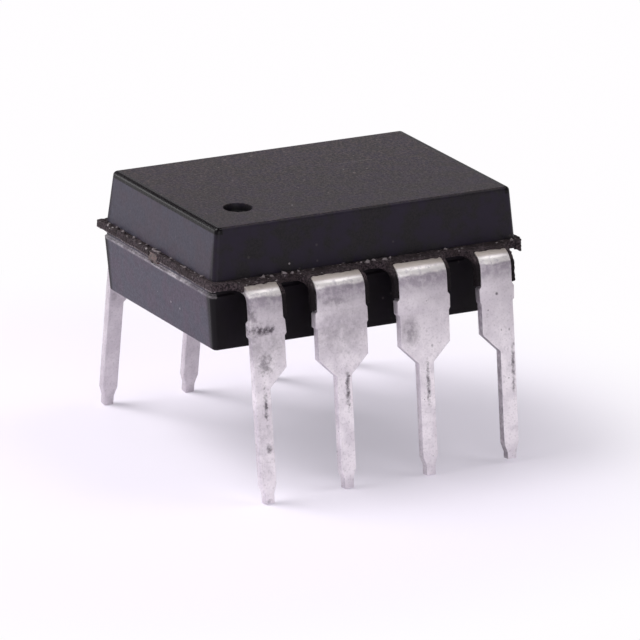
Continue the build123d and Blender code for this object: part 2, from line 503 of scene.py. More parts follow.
def sink_dimple(case):
    """The dimple that marks pin 1, with an eased rim and floor."""
    deselect()
    bpy.ops.mesh.primitive_cylinder_add(
        vertices=48, radius=dimple_radius * MM, depth=2 * dimple_depth * MM,
        location=(dimple_x * MM, dimple_y * MM, body_top * MM))
    plug = name_piece("dimple_plug")
    start_editing(plug)
    pick("EDGE", lambda p: near(p.z, body_top - dimple_depth))
    bpy.ops.mesh.bevel(offset=dimple_floor_radius * MM, segments=3, affect="EDGES")
    stop_editing()
    use_modifier(case, "BOOLEAN", object=plug, operation="DIFFERENCE", solver="EXACT")
    bpy.data.objects.remove(plug)
    start_editing(case)
    pick("EDGE", lambda p: near(p.z, body_top)
         and near(math.hypot(p.x - dimple_x, p.y - dimple_y), dimple_radius, 0.01))
    bpy.ops.mesh.bevel(offset=dimple_rim_radius * MM, segments=2, affect="EDGES")
    stop_editing()


def flatten_shading(piece):
    """Smooth shading on the rounded edges, with the flat faces left flat."""
    smooth(piece, 40)
    use_modifier(piece, "WEIGHTED_NORMAL", keep_sharp=True, weight=80)


# ---------------------------------------------------------------- flash at the lead plane

def tab_edges(slot):
    """Left and right edge of the resin that covers a lead's root."""
    left, right = shoulder_edges(slot)
    return left - strip_width, right + strip_width


def cut_ledge_plate(front_cuts, hidden_end, hidden_side):
    """Cuts the plate in edit mode where the tabs begin and end, and takes out what the body hides."""
    cuts = {("x", round(s * x, 4)) for x in front_cuts + [hidden_end] for s in (-1, 1)}
    cuts |= {("y", -hidden_side), ("y", hidden_side)}
    for axis, place in sorted(cuts):
        bpy.ops.mesh.select_all(action="SELECT")
        at = (place * MM, 0, 0) if axis == "x" else (0, place * MM, 0)
        normal = (1, 0, 0) if axis == "x" else (0, 1, 0)
        bpy.ops.mesh.bisect(plane_co=at, plane_no=normal, threshold=0.0001 * MM)
    pick("FACE", lambda p: abs(p.x) < hidden_end + 0.001 and abs(p.y) < hidden_side + 0.001)
    bpy.ops.mesh.delete(type="FACE")


def draw_out_tabs():
    """A tab of resin over the root of every lead, drawn out from the plate's long edges."""
    for row in (-1, 1):
        for slot in range(pins_per_row):
            left, right = sorted(-row * x for x in tab_edges(slot))
            pick("EDGE", lambda p: near(p.y, row * ledge_side)
                 and left - 0.002 < p.x < right + 0.002)
            extrude(y=row * (film_edge - ledge_side))


def make_ledge():
    """The ledge all round, with a tab over the root of every lead and arched windows between them."""
    end = ledge_end - ledge_ragged_room
    ledge = add_plate("flash_ledge", -end, end, ledge_side, -ledge_side, ledge_underside)
    start_editing(ledge)
    tab_corners = [x for slot in range(pins_per_row) for x in tab_edges(slot)]
    cut_ledge_plate(tab_corners, half_length - ledge_root_end, half_width - ledge_root_side)
    draw_out_tabs()
    bpy.ops.mesh.select_all(action="SELECT")
    extrude(z=film_top - ledge_underside)
    pick("EDGE", lambda p: near(abs(p.y), ledge_side) and any(near(p.x, x) for x in tab_corners))
    keep_edges(lambda run: math.hypot(run.x, run.y) < tiny_run)
    bpy.ops.mesh.bevel(offset=window_radius * MM, segments=5, affect="EDGES", clamp_overlap=True)
    pick("EDGE", lambda p: near(p.x, end) and near(p.y, -ledge_side))
    bpy.ops.mesh.bevel(offset=broken_corner * MM, segments=3, affect="EDGES", clamp_overlap=True)
    finish_closed_shape()
    return ledge


def make_strip(pin, side):
    """Resin left along one edge of a front lead, round the bend and down to the stub."""
    lean = lean_of(pin)
    left, right = shoulder_edges(pin - 1)
    overlap = neck_inset * 0.5
    if side < 0:
        edges = (left - strip_width, left + overlap)
    else:
        edges = (right - overlap, right + strip_width)
    strip = add_end_face(f"flash_strip_{pin}_{side}", edges[0], edges[1], -half_width + strip_root,
                         lead_bottom + strip_skin, lead_top - strip_skin)
    start_editing(strip)
    bpy.ops.mesh.select_all(action="SELECT")
    extrude(y=-bend_reach - strip_root)
    bend_down(lean)
    drop = max(p.z for p in selected_places()) - stub_top - stub_reach
    extrude(y=-drop * math.tan(lean), z=-drop)
    finish_closed_shape()
    return strip


def make_crumb(name, x, y, z, size):
    """A crumb of resin stuck to the flash."""
    deselect()
    bpy.ops.mesh.primitive_ico_sphere_add(
        subdivisions=2, radius=size * MM, location=(x * MM, y * MM, z * MM))
    crumb = name_piece(name)
    ragged(crumb, size * 1.3, size * 0.9, seed=round(x * 10))
    return crumb


# Paler crumbs that stand up from the ledge: along the body, across it, size.
RAISED_CRUMBS = [
    (-3.30, -3.40, 0.085), (-3.05, -3.46, 0.075), (-2.62, -3.34, 0.085), (-2.42, -3.42, 0.070),
    (-2.20, -3.36, 0.055), (-0.30, -3.40, 0.060), (-0.12, -3.46, 0.085), (0.12, -3.38, 0.070),
    (0.42, -3.44, 0.080), (0.62, -3.38, 0.055), (2.10, -3.42, 0.060), (2.38, -3.38, 0.070),
    (4.40, -3.40, 0.060), (-4.76, -2.60, 0.050), (-4.78, -1.70, 0.055), (-4.75, -0.85, 0.050),
    (-4.78, -0.20, 0.070), (-4.76, 0.10, 0.060), (-4.77, 0.55, 0.050), (-4.76, 1.30, 0.060),
    (-4.78, 1.90, 0.050), (-4.76, 2.30, 0.065), (-4.77, 2.75, 0.055),
]
# Crumbs over the edges of the torn tie bar: across the body, height.
TORN_END_CRUMBS = [
    (-0.27, 5.72), (-0.24, 5.84), (-0.10, 5.90), (0.08, 5.88), (0.24, 5.82), (0.27, 5.70), (0.05, 5.60),
]


def make_strips():
    """Strips down both edges of every lead, in both rows. The end leads at pins 1 and 5 have one each."""
    strips = []
    for pin in range(1, pins_per_row + 1):
        for side in (-1, 1):
            if side > 0 or pin != 1:
                front = make_strip(pin, side)
                strips += [front, half_turn_copy(front, front.name + "_back")]
    return strips


def make_crumbs():
    """Loose crumbs on the ledge, the paler ones that stand up from it, and those over the torn tie bar."""
    crumbs = []
    spots = random.Random(loose_crumb_seed)
    for i in range(loose_crumb_count):
        side = spots.choice((-1, 1))
        x = spots.uniform(-half_length, half_length)
        y = side * (half_width + spots.uniform(0.02, 0.18))
        z = film_top + spots.uniform(-0.03, 0.01)
        crumbs.append(make_crumb(f"crumb_{i}", x, y, z, spots.uniform(0.03, 0.055)))
    for i, (x, y, size) in enumerate(RAISED_CRUMBS):
        crumbs.append(make_crumb(f"raised_crumb_{i}", x, y, film_top + 0.02, size))
    for i, (y, z) in enumerate(TORN_END_CRUMBS):
        crumbs.append(make_crumb(f"torn_end_crumb_{i}", -ledge_end + 0.05, y, z, torn_crumb_size))
    crumbs.append(make_crumb("corner_blob", half_length - 0.04, -ledge_side + 0.04, lead_bottom + 0.05,
                             corner_blob_size))
    return crumbs


def make_flash():
    """Ledge, tabs, strips and crumbs, grown together and broken up as thin resin breaks."""
    ledge = make_ledge()
    flash = join(ledge, make_strips() + make_crumbs())
    flash.name = "resin_flash"
    use_modifier(flash, "REMESH", mode="VOXEL", voxel_size=flash_grain * MM)
    ragged(flash, 0.35, 0.016, seed=1)
    ragged(flash, 0.09, 0.018, seed=2)
    ragged(flash, 0.13, 0.045, where=film_front, seed=3)
    keep_inside_box(flash)
    return flash


def film_front(place):
    """Whether a place is on the thin front edge of the film over the lead roots: 1 or 0."""
    if place.z < lead_top - 0.16 or abs(place.y) < film_edge - 0.14:
        return 0.0
    return 1.0 if abs(place.y) < film_edge + 0.03 else 0.0


def keep_inside_box(piece):
    """Nothing breaks out past the ledge's true size."""
    for v in piece.data.vertices:
        v.co.x = max(-ledge_end * MM, min(ledge_end * MM, v.co.x))


# ---------------------------------------------------------------- node helpers

def new_group(name, inputs, outputs):
    """A shader group with named number, colour or vector sockets."""
    kinds = {"number": "NodeSocketFloat", "colour": "NodeSocketColor", "vector": "NodeSocketVector"}
    group = bpy.data.node_groups.new(name, "ShaderNodeTree")
    for socket, kind, start in inputs:
        made = group.interface.new_socket(name=socket, in_out="INPUT", socket_type=kinds[kind])
        made.default_value = start
    for socket, kind in outputs:
        group.interface.new_socket(name=socket, in_out="OUTPUT", socket_type=kinds[kind])
    return group, group.nodes.new("NodeGroupInput"), group.nodes.new("NodeGroupOutput")


def node(tree, kind, **settings):
    """A node; settings that name an input set it, and the others set the node itself."""
    made = tree.nodes.new("ShaderNode" + kind)
    for key, value in settings.items():
        if hasattr(made, key):
            setattr(made, key, value)
        else:
            made.inputs[key.replace("_", " ")].default_value = value
    return made


def link(tree, source, target):
    """Joins two sockets."""
    tree.links.new(source, target)


def maths(tree, operation, a, b=None, clamp=False):
    """One sum on two sockets or numbers."""
    made = node(tree, "Math", operation=operation, use_clamp=clamp)
    for socket, value in zip(made.inputs, (a, b)):
        if value is None:
            continue
        if isinstance(value, (int, float)):
            socket.default_value = value
        else:
            link(tree, value, socket)
    return made.outputs[0]


def times(tree, *factors):
    """The product of several sockets or numbers."""
    product = factors[0]
    for factor in factors[1:]:
        product = maths(tree, "MULTIPLY", product, factor)
    return product


def away_from_middle(tree, distance):
    """A distance without its sign."""
    return maths(tree, "ABSOLUTE", distance)


def split_place(tree, place):
    """The X, Y and Z of a place."""
    made = node(tree, "SeparateXYZ")
    link(tree, place, made.inputs[0])
    return made.outputs


def ramp(tree, value, low, high, start=0.0, end=1.0):
    """Start below low, end above high, and a smooth change between."""
    made = node(tree, "MapRange", interpolation_type="SMOOTHSTEP", clamp=True)
    link(tree, value, made.inputs["Value"])
    for key, number in (("From Min", low), ("From Max", high), ("To Min", start), ("To Max", end)):
        made.inputs[key].default_value = number
    return made.outputs["Result"]


def blend(tree, mask, below, above):
    """Lays one colour over another by a mask."""
    made = node(tree, "Mix", data_type="RGBA")
    for name, value in (("Factor", mask), ("A", below), ("B", above)):
        socket = made.inputs[name]
        if isinstance(value, (int, float)):
            socket.default_value = value
        elif isinstance(value, tuple):
            socket.default_value = (*value, 1)
        else:
            link(tree, value, socket)
    return made.outputs["Result"]


def paint(tree, colour, *coats):
    """Lays coats over a colour, one after another. A coat is a mask and the colour it lays."""
    for mask, coat in coats:
        colour = blend(tree, mask, colour, coat)
    return colour


def build_grain_group():
    """Uneven grain at a size in millimetres: a value, and a sharper copy of it."""
    group, entry, out = new_group(
        "surface grain", [("Place", "vector", (0, 0, 0)), ("Size", "number", 0.1), ("Detail", "number", 3.0)],
        [("Value", "number"), ("Patches", "number")])
    scaled = node(group, "VectorMath", operation="DIVIDE")
    link(group, entry.outputs["Place"], scaled.inputs[0])
    link(group, entry.outputs["Size"], scaled.inputs[1])
    cloud = node(group, "TexNoise", Scale=1.0, Roughness=0.6)
    link(group, scaled.outputs[0], cloud.inputs["Vector"])
    link(group, entry.outputs["Detail"], cloud.inputs["Detail"])
    link(group, cloud.outputs["Fac"], out.inputs["Value"])
    link(group, ramp(group, cloud.outputs["Fac"], 0.46, 0.60), out.inputs["Patches"])
    return group


def build_specks_group():
    """Small bright or dark specks: cells of which only some hold a speck."""
    group, entry, out = new_group(
        "specks", [("Place", "vector", (0, 0, 0)), ("Spacing", "number", 0.3), ("Size", "number", 0.2),
                   ("Share", "number", 0.3)], [("Mask", "number")])
    scaled = node(group, "VectorMath", operation="DIVIDE")
    link(group, entry.outputs["Place"], scaled.inputs[0])
    link(group, entry.outputs["Spacing"], scaled.inputs[1])
    cells = node(group, "TexVoronoi", Scale=1.0, Randomness=1.0)
    link(group, scaled.outputs[0], cells.inputs["Vector"])
    draw = node(group, "SeparateColor")
    link(group, cells.outputs["Color"], draw.inputs[0])
    size = times(group, entry.outputs["Size"], maths(group, "ADD", draw.outputs[1], 0.35))
    share = maths(group, "DIVIDE", cells.outputs["Distance"], size)
    inside = maths(group, "SUBTRACT", 1.0, share, clamp=True)
    chosen = maths(group, "LESS_THAN", draw.outputs[0], entry.outputs["Share"])
    soft = times(group, maths(group, "MULTIPLY", inside, 2.2, clamp=True), chosen)
    link(group, soft, out.inputs["Mask"])
    return group


def build_mark_group():
    """One mark at a place: an oval with a ragged edge. Sizes are in millimetres."""
    group, entry, out = new_group(
        "mark", [("Place", "vector", (0, 0, 0)), ("Centre", "vector", (0, 0, 0)),
                 ("Reach", "vector", (1, 1, 1)), ("Ragged", "number", 0.3), ("Strength", "number", 1.0)],
        [("Mask", "number")])
    away = node(group, "VectorMath", operation="SUBTRACT")
    link(group, entry.outputs["Place"], away.inputs[0])
    link(group, entry.outputs["Centre"], away.inputs[1])
    share = node(group, "VectorMath", operation="DIVIDE")
    link(group, away.outputs[0], share.inputs[0])
    link(group, entry.outputs["Reach"], share.inputs[1])
    distance = node(group, "VectorMath", operation="LENGTH")
    link(group, share.outputs[0], distance.inputs[0])
    cloud = node(group, "TexNoise", Scale=9.0, Detail=4.0, Roughness=0.65)
    link(group, entry.outputs["Place"], cloud.inputs["Vector"])
    uneven = maths(group, "SUBTRACT", cloud.outputs["Fac"], 0.5)
    wobble = times(group, uneven, times(group, entry.outputs["Ragged"], 4.0))
    edge = maths(group, "ADD", distance.outputs["Value"], wobble)
    mask = times(group, ramp(group, edge, 1.25, 0.25), entry.outputs["Strength"])
    link(group, mask, out.inputs["Mask"])
    return group


def place_in_mm(tree):
    """The surface's place on the part, in millimetres."""
    coordinates = node(tree, "TexCoord")
    scaled = node(tree, "VectorMath", operation="SCALE")
    scaled.inputs["Scale"].default_value = 1 / MM
    link(tree, coordinates.outputs["Object"], scaled.inputs[0])
    return scaled.outputs[0]


def new_material(name, **shader_values):
    """A material with its Principled shader; the values are set on the shader's own sockets."""
    material = bpy.data.materials.new(name)
    material.use_nodes = True
    shader = material.node_tree.nodes["Principled BSDF"]
    for key, value in shader_values.items():
        shader.inputs[key.replace("_", " ")].default_value = value
    return material, material.node_tree, shader


def use_group(tree, group, place, **values):
    """Places a group in a material with its own values."""
    made = tree.nodes.new("ShaderNodeGroup")
    made.node_tree = group
    link(tree, place, made.inputs["Place"])
    for key, value in values.items():
        made.inputs[key].default_value = value
    return made


def grain(tree, groups, place, size, detail):
    """Uneven grain at a size in millimetres."""
    return use_group(tree, groups["grain"], place, Size=size, Detail=detail).outputs["Value"]


def specks(tree, groups, place, spacing, size, share):
    """Specks about this far apart, in millimetres. Size and share are parts of one."""
    made = use_group(tree, groups["specks"], place, Spacing=spacing, Size=size, Share=share)
    return made.outputs["Mask"]


def oval_mark(tree, groups, place, centre, reach, rough_edge, strength=1.0):
    """One oval mark, by its centre and its reach each way in millimetres."""
    made = use_group(tree, groups["mark"], place, Centre=centre, Reach=reach, Ragged=rough_edge,
                     Strength=strength)
    return made.outputs["Mask"]


def bump(tree, shader, height, strength, distance):
    """Raises the surface by a height; the distance is in millimetres."""
    made = node(tree, "Bump", Strength=strength, Distance=distance * MM)
    link(tree, height, made.inputs["Height"])
    link(tree, made.outputs["Normal"], shader.inputs["Normal"])


# ---------------------------------------------------------------- materials

# Colours are linear red, green and blue.
EPOXY_BLACK = (0.008, 0.007, 0.009)
EPOXY_GREY = (0.016, 0.013, 0.016)
EPOXY_VIOLET = (0.014, 0.010, 0.020)
POWDER = (0.066, 0.048, 0.048)
# Painted sheen on the body's two ends, in two tints.
END_SHEEN_VIOLET = (0.076, 0.060, 0.088)
END_SHEEN_BLUE = (0.066, 0.064, 0.088)
# Painted shade, on the ends' upper edges and beside the leads.
PAINTED_SHADE_BLACK = (0.002, 0.001, 0.002)
# Painted shade in the dimple.
DIMPLE_PAINTED_SHADE = (0.001, 0.001, 0.001)
DUST = (0.24, 0.20, 0.19)
LINT = (0.30, 0.27, 0.28)
SCRATCH = (0.20, 0.18, 0.18)
# A painted highlight along the parting edge.
PARTING_EDGE_HIGHLIGHT = (0.46, 0.43, 0.45)
RESIN_DARK = (0.011, 0.008, 0.010)
RESIN_PALE = (0.062, 0.047, 0.052)
RESIN_BROWN = (0.022, 0.016, 0.016)
CRUMB = (0.30, 0.27, 0.28)
BROKEN_LIP = (0.24, 0.21, 0.22)
RAISED_CRUMB = (0.23, 0.20, 0.21)
# Painted shade on the strips down the leads.
STRIP_SHADE = (0.004, 0.003, 0.004)
TIN_GREY = (0.69, 0.64, 0.69)
TIN_BRIGHT = (0.85, 0.80, 0.84)
# Painted shade up the legs and in the back row.
TIN_UPPER_LEG_SHADE = (0.42, 0.38, 0.42)
TIN_BACK_ROW_SHADE = (0.44, 0.40, 0.43)
TIN_GRIME = (0.30, 0.27, 0.30)
TIN_PIT = (0.08, 0.06, 0.08)
# A painted reflection: the dark band below the bend.
TIN_DARK_REFLECTION = (0.22, 0.19, 0.23)
# A painted reflection over the top of the bend.
TIN_BEIGE_REFLECTION = (0.43, 0.38, 0.355)
# A painted highlight on the crown of the bend, partly burnish.
TIN_HIGHLIGHT_AND_BURNISH = (0.92, 0.88, 0.87)
# Painted shade on the stamped sides of the leads.
TIN_CUT_SIDE_SHADE = (0.15, 0.13, 0.15)
# Marked spots on the tin, and painted shade over the crown of pin 1.
TIN_MARK_AND_SHADE = (0.065, 0.050, 0.065)
COPPER_DARK = (0.42, 0.24, 0.17)
COPPER_BRIGHT = (0.66, 0.42, 0.32)
TORN_DARK = (0.016, 0.008, 0.008)
TORN_BROWN = (0.105, 0.060, 0.056)


def moulding_material(groups):
    """Matte black epoxy: dusty grain and a hairline scratch on the top, a mottled painted sheen on the ends,
    painted shade on their upper edges, beside the leads and in the dimple, and a painted highlight along the
    parting edge.
    """
    material, tree, shader = new_material("moulding compound", Specular_IOR_Level=0.15, Sheen_Weight=0.10,
                                          Sheen_Roughness=0.30, Sheen_Tint=(1.0, 0.92, 1.0, 1))
    place = place_in_mm(tree)
    fine = grain(tree, groups, place, 0.045, 3.0)
    broad = grain(tree, groups, place, 0.55, 3.0)
    rim = end_rim(tree, place)
    colour = epoxy_colour(tree, groups, place, fine, broad)
    end_sheen_tint = blend(tree, ramp(tree, broad, 0.40, 0.60), END_SHEEN_VIOLET, END_SHEEN_BLUE)
    colour = paint(
        tree, colour,
        # painted sheen on the two ends
        (end_painted_sheen(tree, groups, place), end_sheen_tint),
        # painted shade on the ends' upper edges
        (rim, PAINTED_SHADE_BLACK),
        # painted shade beside the leads
        (window_shade(tree, place), PAINTED_SHADE_BLACK),
        # painted shade in the dimple
        (dimple_shade(tree, groups, place), DIMPLE_PAINTED_SHADE),
        (dust_mask(tree, groups, place), DUST),
        (times(tree, specks(tree, groups, place, 0.60, 0.055, 0.26), 0.7), LINT),
        (oval_mark(tree, groups, place, (1.9, 0.9, body_top), (0.75, 0.018, 0.2), 0.12, 0.35), SCRATCH),
        # a painted highlight along the parting edge
        (parting_edge_highlight(tree, place, broad, fine), PARTING_EDGE_HIGHLIGHT))
    link(tree, colour, shader.inputs["Base Color"])
    rough = ramp(tree, fine, 0.3, 0.7, 0.34, 0.50)
    link(tree, maths(tree, "SUBTRACT", rough, times(tree, rim, 0.13)), shader.inputs["Roughness"])
    bump(tree, shader, fine, 0.5, 0.006)
    return material


def on_top_face(tree, z):
    """1 on the top face, and 0 below it."""
    return ramp(tree, z, body_top - 0.03, body_top - 0.005)


def epoxy_colour(tree, groups, place, fine, broad):
    """The bare moulding compound, with pale powder on its top, laid on more strongly towards the back as
    painted sheen.
    """
    _, y, z = split_place(tree, place)
    coarse = grain(tree, groups, place, 0.085, 4.0)
    powder = times(tree, ramp(tree, coarse, 0.42, 0.68), on_top_face(tree, z))
    # Painted sheen: the powder grows stronger towards the back.
    sheen_towards_back = ramp(tree, y, -half_width, half_width, 0.60, 0.95)
    colour = blend(tree, ramp(tree, fine, 0.3, 0.7), EPOXY_BLACK, EPOXY_GREY)
    return paint(
        tree, colour,
        (ramp(tree, broad, 0.40, 0.62), EPOXY_VIOLET),
        (times(tree, powder, sheen_towards_back), POWDER))


def dust_mask(tree, groups, place):
    """Dust, mostly on the top face."""
    _, _, z = split_place(tree, place)
    share = maths(tree, "ADD", on_top_face(tree, z), 0.25)
    return times(tree, times(tree, specks(tree, groups, place, 0.26, 0.14, 0.30), share), 0.35)


def window_shade(tree, place):
    """Painted shade on the lower half beside the leads, behind the windows in the flash."""
    _, y, z = split_place(tree, place)
    beside_leads = ramp(tree, away_from_middle(tree, y), half_width - 0.40, half_width - 0.20)
    return times(tree, beside_leads, ramp(tree, z, lead_top, parting_edge, 0.0, 0.85))


def dimple_shade(tree, groups, place):
    """Painted shade on the dimple's floor and wall."""
    centre = (dimple_x, dimple_y, body_top - dimple_depth)
    return oval_mark(tree, groups, place, centre, (0.66, 0.66, 0.22), 0.0)


def end_painted_sheen(tree, groups, place):
    """Painted sheen on the body's two ends, patchy like a pale film and stronger on the lower half; it stops
    short of the rounded edges.
    """
    x, y, z = split_place(tree, place)
    coarse = grain(tree, groups, place, 0.085, 4.0)
    rise = away_from_middle(tree, maths(tree, "SUBTRACT", z, lead_bottom))
    surface = maths(tree, "SUBTRACT", half_length, times(tree, rise, math.tan(math.radians(upper_draft))))
    on_end = maths(tree, "GREATER_THAN", away_from_middle(tree, x), maths(tree, "SUBTRACT", surface, 0.06))
    below_rim = ramp(tree, z, body_top - shaded_rim_band + 0.01, body_top - shaded_rim_band - 0.03)
    beside = ramp(tree, away_from_middle(tree, y), half_width - 0.18, half_width - 0.34)
    patchy = ramp(tree, coarse, 0.30, 0.66, 0.58, 0.92)
    lower = ramp(tree, z, lead_top, parting_edge, 0.62, 1.0)
    return times(tree, on_end, below_rim, beside, patchy, lower)


def end_rim(tree, place):
    """The rounded upper edges of the two ends, painted in shade and left smooth."""
    x, _, z = split_place(tree, place)
    top_end = half_length - (body_top - lead_bottom) * math.tan(math.radians(upper_draft))
    outer = ramp(tree, away_from_middle(tree, x), top_end - shaded_rim_band - 0.03, top_end - shaded_rim_band + 0.03)
    high = ramp(tree, z, body_top - shaded_rim_band - 0.03, body_top - shaded_rim_band + 0.01)
    return times(tree, outer, high)


def parting_edge_highlight(tree, place, broad, fine):
    """A painted highlight: the pale broken line along the lower half's upper edge, on both ends of the body.
    """
    x, y, z = split_place(tree, place)
    band = times(tree, ramp(tree, z, parting_edge - 0.085, parting_edge - 0.02),
                 ramp(tree, z, parting_edge + 0.07, parting_edge + 0.035))
    end = ramp(tree, away_from_middle(tree, x), half_length - 0.14, half_length - 0.08)
    middle = ramp(tree, away_from_middle(tree, y), half_width, 0.8, 0.50, 1.0)
    patchy = times(tree, ramp(tree, broad, 0.35, 0.6, 0.35, 1.0), ramp(tree, fine, 0.35, 0.6, 0.4, 1.0))
    return times(tree, band, end, middle, patchy)


def flash_material(groups):
    """Broken resin at the lead plane: dark brownish grey, rough, with pale crumbs and filler specks, and
    painted shade down the leads.
    """
    material, tree, shader = new_material("broken resin flash", Specular_IOR_Level=0.10)
    place = place_in_mm(tree)
    _, _, z = split_place(tree, place)
    fine = grain(tree, groups, place, 0.05, 4.0)
    broad = use_group(tree, groups["grain"], place, Size=0.45, Detail=2.0)
    raised = ramp(tree, z, film_top + 0.03, film_top + 0.065)
    # Painted shade on the flash down the leads, between them.
    shade_down_the_leads = ramp(tree, z, ledge_underside, ledge_underside - 0.12)
    colour = blend(tree, ramp(tree, fine, 0.38, 0.62), RESIN_DARK, RESIN_PALE)
    colour = paint(
        tree, colour,
        (times(tree, broad.outputs["Patches"], 0.5), RESIN_BROWN),
        (crumb_mask(tree, groups, place, broad.outputs["Value"]), CRUMB),
        (broken_lip(tree, place, fine), BROKEN_LIP),
        (times(tree, raised, 0.75), RAISED_CRUMB),
        (times(tree, shade_down_the_leads, 0.85), STRIP_SHADE))
    link(tree, colour, shader.inputs["Base Color"])
    link(tree, ramp(tree, fine, 0.3, 0.7, 0.62, 0.85), shader.inputs["Roughness"])
    bump(tree, shader, fine, 0.8, 0.03)
    return material


def crumb_mask(tree, groups, place, broad):
    """Pale specks of filler in patches on the upper side of the flash."""
    _, _, z = split_place(tree, place)
    high = ramp(tree, z, lead_top - 0.10, lead_top)
    loose = times(tree, ramp(tree, broad, 0.42, 0.60, 0.15, 1.0), high)
    return times(tree, specks(tree, groups, place, 0.11, 0.36, 0.42), loose, 0.8)


def broken_lip(tree, place, fine):
    """The pale broken lower lip of the ledge at the body's two ends."""
    x, _, z = split_place(tree, place)
    low = ramp(tree, z, ledge_underside + 0.05, ledge_underside + 0.015)
    outer = ramp(tree, away_from_middle(tree, x), half_length, half_length + 0.08)
    return times(tree, low, outer, ramp(tree, fine, 0.40, 0.60, 0.15, 1.0), 0.7)


# Marks on the tin, and painted shade over the crown of pin 1: pin, along the row from the pin's middle,
# height, half width, half height, raggedness and darkness.
TIN_MARKS_AND_SHADE = [
    (1, -0.08, 4.68, 0.32, 0.19, 0.50, 1.00),
    (1, 0.24, 4.66, 0.27, 0.17, 0.50, 1.00),
    (1, 0.12, 3.80, 0.24, 0.36, 0.55, 0.65),
    (1, 0.07, 1.50, 0.12, 0.17, 0.10, 0.95),
    # The next four rows darken pins 1 and 2 across the whole leg; the third, on the crown of pin 1, is
    # painted shade.
    (1, 0.00, 4.35, 0.80, 0.60, 0.30, 0.34),
    (1, 0.05, 1.80, 0.50, 1.20, 0.30, 0.16),
    (1, 0.00, 5.86, 0.80, 0.18, 0.10, 0.42),
    (2, 0.00, 4.35, 0.90, 0.70, 0.30, 0.30),
    (1, -0.03, 0.10, 0.06, 0.08, 0.10, 0.70),
    (1, 0.05, 2.62, 0.070, 0.60, 0.60, 0.90),
    (1, -0.19, 5.10, 0.16, 0.36, 0.40, 0.60),
    (2, 0.08, 2.70, 0.070, 0.62, 0.60, 0.95),
    (2, -0.20, 5.18, 0.60, 0.14, 0.20, 0.35),
    (3, -0.47, 4.04, 0.30, 0.42, 0.08, 0.55),
    (3, 0.19, 3.57, 0.04, 0.06, 0.15, 0.60),
    (3, 0.04, 3.99, 0.03, 0.04, 0.15, 0.45),
    (3, 0.02, 2.60, 0.065, 0.62, 0.60, 0.95),
    (4, -0.28, 4.72, 0.05, 0.05, 0.10, 0.85),
    (4, 0.07, 3.69, 0.035, 0.05, 0.10, 0.80),
    (4, -0.18, 3.71, 0.03, 0.04, 0.10, 0.60),
    (4, 0.18, 3.28, 0.035, 0.05, 0.10, 0.60),
    (4, 0.14, 2.60, 0.060, 0.75, 0.60, 0.90),
    (5, 0.10, 4.30, 0.20, 0.30, 0.40, 0.40),
    (7, -0.15, 3.95, 0.22, 0.26, 0.20, 0.35),
    (8, 0.10, 3.30, 0.10, 0.16, 0.30, 0.35),
]

# A mark is an oval column through the leg. This is how far out its middle is, and its half depth.
leg_middle_y = 4.2
leg_depth = 1.6


def tin_material(groups):
    """Dull tin plate, marked down the legs, with painted light: a beige painted reflection over the bend, a
    painted highlight on its crown that is partly burnish, a dark painted reflection below it, and painted
    shade up the legs, in the back row and on the stamped sides.
    """
    material, tree, shader = new_material("tin plate")
    place = place_in_mm(tree)
    x, _, z = split_place(tree, place)
    fine = grain(tree, groups, place, 0.06, 4.0)
    coarse = grain(tree, groups, place, 0.16, 4.0)
    broad = grain(tree, groups, place, 0.55, 3.0)
    wavy = maths(tree, "ADD", z, times(tree, maths(tree, "SUBTRACT", broad, 0.5), 0.25))
    shine = crown_highlight_and_burnish(tree, z, wavy, coarse)
    marks_and_shade = tin_mark_and_shade_mask(tree, groups, place, coarse)
    colour = paint(
        tree, leg_colour(tree, groups, place, fine, broad),
        # a dark painted reflection below the bend
        (dark_reflection_below_bend(tree, z, wavy, coarse), TIN_DARK_REFLECTION),
        # a beige painted reflection over the top of the bend
        (ramp(tree, z, lead_top - 0.15, lead_top - 0.06), TIN_BEIGE_REFLECTION),
        # a painted highlight on the crown of the bend, partly burnish
        (times(tree, shine, 0.9), TIN_HIGHLIGHT_AND_BURNISH),
        # painted shade on the stamped sides
        (cut_side_shade(tree, x, coarse), TIN_CUT_SIDE_SHADE),
        # marked spots, and painted shade on the crown of pin 1
        (marks_and_shade, TIN_MARK_AND_SHADE))
    link(tree, colour, shader.inputs["Base Color"])
    rough = ramp(tree, fine, 0.3, 0.7, 0.46, 0.60)
    link(tree, maths(tree, "SUBTRACT", rough, times(tree, shine, 0.16)), shader.inputs["Roughness"])
    link(tree, ramp(tree, marks_and_shade, 0.0, 1.0, 0.62, 0.15), shader.inputs["Metallic"])
    bump(tree, shader, fine, 0.35, 0.012)
    return material


def leg_colour(tree, groups, place, fine, broad):
    """The tin before it is marked: bright at the tips, with pits, and greyer up the legs and in the back row,
    which is painted shade.
    """
    _, y, z = split_place(tree, place)
    pits = specks(tree, groups, place, 0.19, 0.17, 0.07)
    colour = blend(tree, ramp(tree, broad, 0.35, 0.65), TIN_GREY, TIN_BRIGHT)
    return paint(
        tree, colour,
        # painted shade up the legs, and in the back row
        (ramp(tree, z, 2.8, 5.0, 0.0, 0.58), TIN_UPPER_LEG_SHADE),
        (ramp(tree, y, 0.5, 1.5, 0.0, 0.38), TIN_BACK_ROW_SHADE),
        (times(tree, ramp(tree, fine, 0.50, 0.72), 0.30), TIN_GRIME),
        (times(tree, pits, 0.75), TIN_PIT))


def dark_reflection_below_bend(tree, z, wavy, coarse):
    """Painted reflection: the mottled dark band just below the bend, with a wavy lower edge."""
    band = times(tree, ramp(tree, wavy, lead_top - 0.89, lead_top - 0.42),
                 ramp(tree, z, lead_top - 0.22, lead_top - 0.30))
    return times(tree, band, ramp(tree, coarse, 0.36, 0.62, 0.55, 1.0), 0.78)


